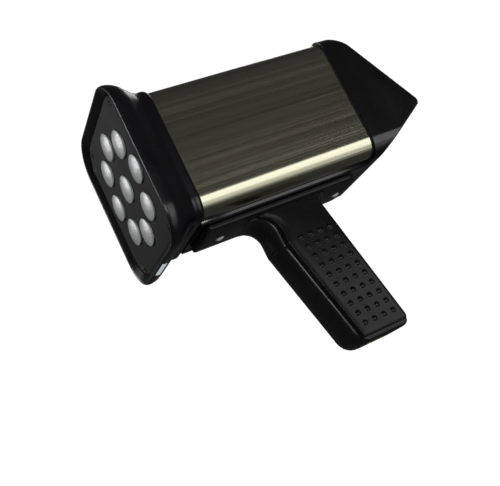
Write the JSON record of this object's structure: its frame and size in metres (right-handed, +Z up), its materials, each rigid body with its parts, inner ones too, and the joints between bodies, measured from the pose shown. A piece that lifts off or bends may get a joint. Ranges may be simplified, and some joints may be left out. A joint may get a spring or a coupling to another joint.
{
  "type": "timing light",
  "caption": "Pistol-grip LED stroboscope: flared square bezel with round lenses, brushed aluminium sleeve, wedge-shaped rear cover with display, keys and knob, raked studded grip with trigger.",
  "frame": {"origin": "on the flat base of the grip, behind the tripod bush", "axes": "+Z up along the upright tool, the beam leaves along -Y, +X is the tool's left flank"},
  "size_m": [0.1202, 0.2276, 0.2279],
  "materials": {
    "bezel_gloss": "glossy moulded",
    "cover_black": "fine moulded texture",
    "panel_dark": "matte",
    "lens_frosted": "frosted, slightly domed",
    "sleeve_anodised": "brushed lengthwise and anodised",
    "grip_satin": "satin moulded",
    "rubber_black": "matte",
    "board": "solder mask",
    "screw_steel": "plated",
    "heat_sink_metal": "plain extruded",
    "bush_brass": "turned",
    "display_glass": "clear window over a dark display",
    "wrapped": "shrink wrap",
    "key_grey": "matte"
  },
  "bodies": {
    "tool": {"battery_pack": "wrapped", "charge_socket": "screw_steel", "control_fascia": "panel_dark", "cover_screw_1": "screw_steel", "cover_screw_2": "screw_steel", "display_module": "wrapped", "display_window": "display_glass", "door_pin": "screw_steel", "driver_board": "board", "fascia_screw_1": "screw_steel", "fascia_screw_2": "screw_steel", "front_bezel": "bezel_gloss", "front_seal": "rubber_black", "grip_screw_1": "screw_steel", "grip_screw_2": "screw_steel", "handle_frame": "grip_satin", "handle_lead": "rubber_black", "handle_nut_front": "screw_steel", "handle_nut_rear": "screw_steel", "handle_screw_front": "screw_steel", "handle_screw_rear": "screw_steel", "heat_sink": "heat_sink_metal", "key_board": "board", "led_board": "board", "led_lens_1": "lens_frosted", "led_lens_2": "lens_frosted", "led_lens_3": "lens_frosted", "led_lens_4": "lens_frosted", "led_lens_5": "lens_frosted", "led_lens_6": "lens_frosted", "led_lens_7": "lens_frosted", "led_lens_8": "lens_frosted", "led_lens_9": "lens_frosted", "led_panel": "panel_dark", "left_grip_panel": "grip_satin", "panel_screw_1": "screw_steel", "panel_screw_2": "screw_steel", "panel_screw_3": "screw_steel", "panel_screw_4": "screw_steel", "rear_cover": "cover_black", "rear_seal": "rubber_black", "right_grip_panel": "grip_satin", "rotary_encoder": "screw_steel", "sleeve": "sleeve_anodised", "storage_capacitor": "wrapped", "sync_socket": "screw_steel", "trigger_pin": "screw_steel", "trigger_spring": "screw_steel", "trigger_switch": "cover_black", "tripod_bush": "bush_brass", "under_rail": "cover_black"},
    "trigger": {"trigger": "grip_satin"},
    "knob": {"rate_knob": "rubber_black"},
    "door": {"battery_door": "grip_satin"},
    "catch": {"door_catch": "rubber_black"},
    "key_faster": {"key_faster": "key_grey"},
    "key_slower": {"key_slower": "key_grey"},
    "key_mode": {"key_mode": "key_grey"},
    "key_power": {"key_power": "key_grey"}
  },
  "joints": [
    {"name": "trigger_pull", "type": "slide", "parent": "tool", "child": "trigger", "axis": [0, 1, 0], "range_m": [0, 0.0026], "stiffness_N_per_m": 800, "springref_m": -0.002, "deforming": ["trigger_spring"]},
    {"name": "key_faster_press", "type": "slide", "parent": "tool", "child": "key_faster", "axis": [0, -0.8704, -0.4924], "range_m": [0, 0.0008], "stiffness_N_per_m": 1200, "springref_m": -0.0006},
    {"name": "key_slower_press", "type": "slide", "parent": "tool", "child": "key_slower", "axis": [0, -0.8704, -0.4924], "range_m": [0, 0.0008], "stiffness_N_per_m": 1200, "springref_m": -0.0006},
    {"name": "key_mode_press", "type": "slide", "parent": "tool", "child": "key_mode", "axis": [0, -0.8704, -0.4924], "range_m": [0, 0.0008], "stiffness_N_per_m": 1200, "springref_m": -0.0006},
    {"name": "key_power_press", "type": "slide", "parent": "tool", "child": "key_power", "axis": [0, -0.8704, -0.4924], "range_m": [0, 0.0008], "stiffness_N_per_m": 1200, "springref_m": -0.0006},
    {"name": "knob_turn", "type": "hinge", "parent": "tool", "child": "knob", "pos_m": [-0.025, 0.07521, 0.16936], "axis": [0, 0.8704, 0.4924], "continuous": true},
    {"name": "door_hinge", "type": "hinge", "parent": "tool", "child": "door", "pos_m": [0, 0.00723, 0.0144], "axis": [-1, 0, 0], "range_deg": [0, 85]},
    {"name": "catch_slide", "type": "slide", "parent": "door", "child": "catch", "axis": [0, 0.1994, -0.9799], "range_m": [0, 0.0026]}
  ]
}
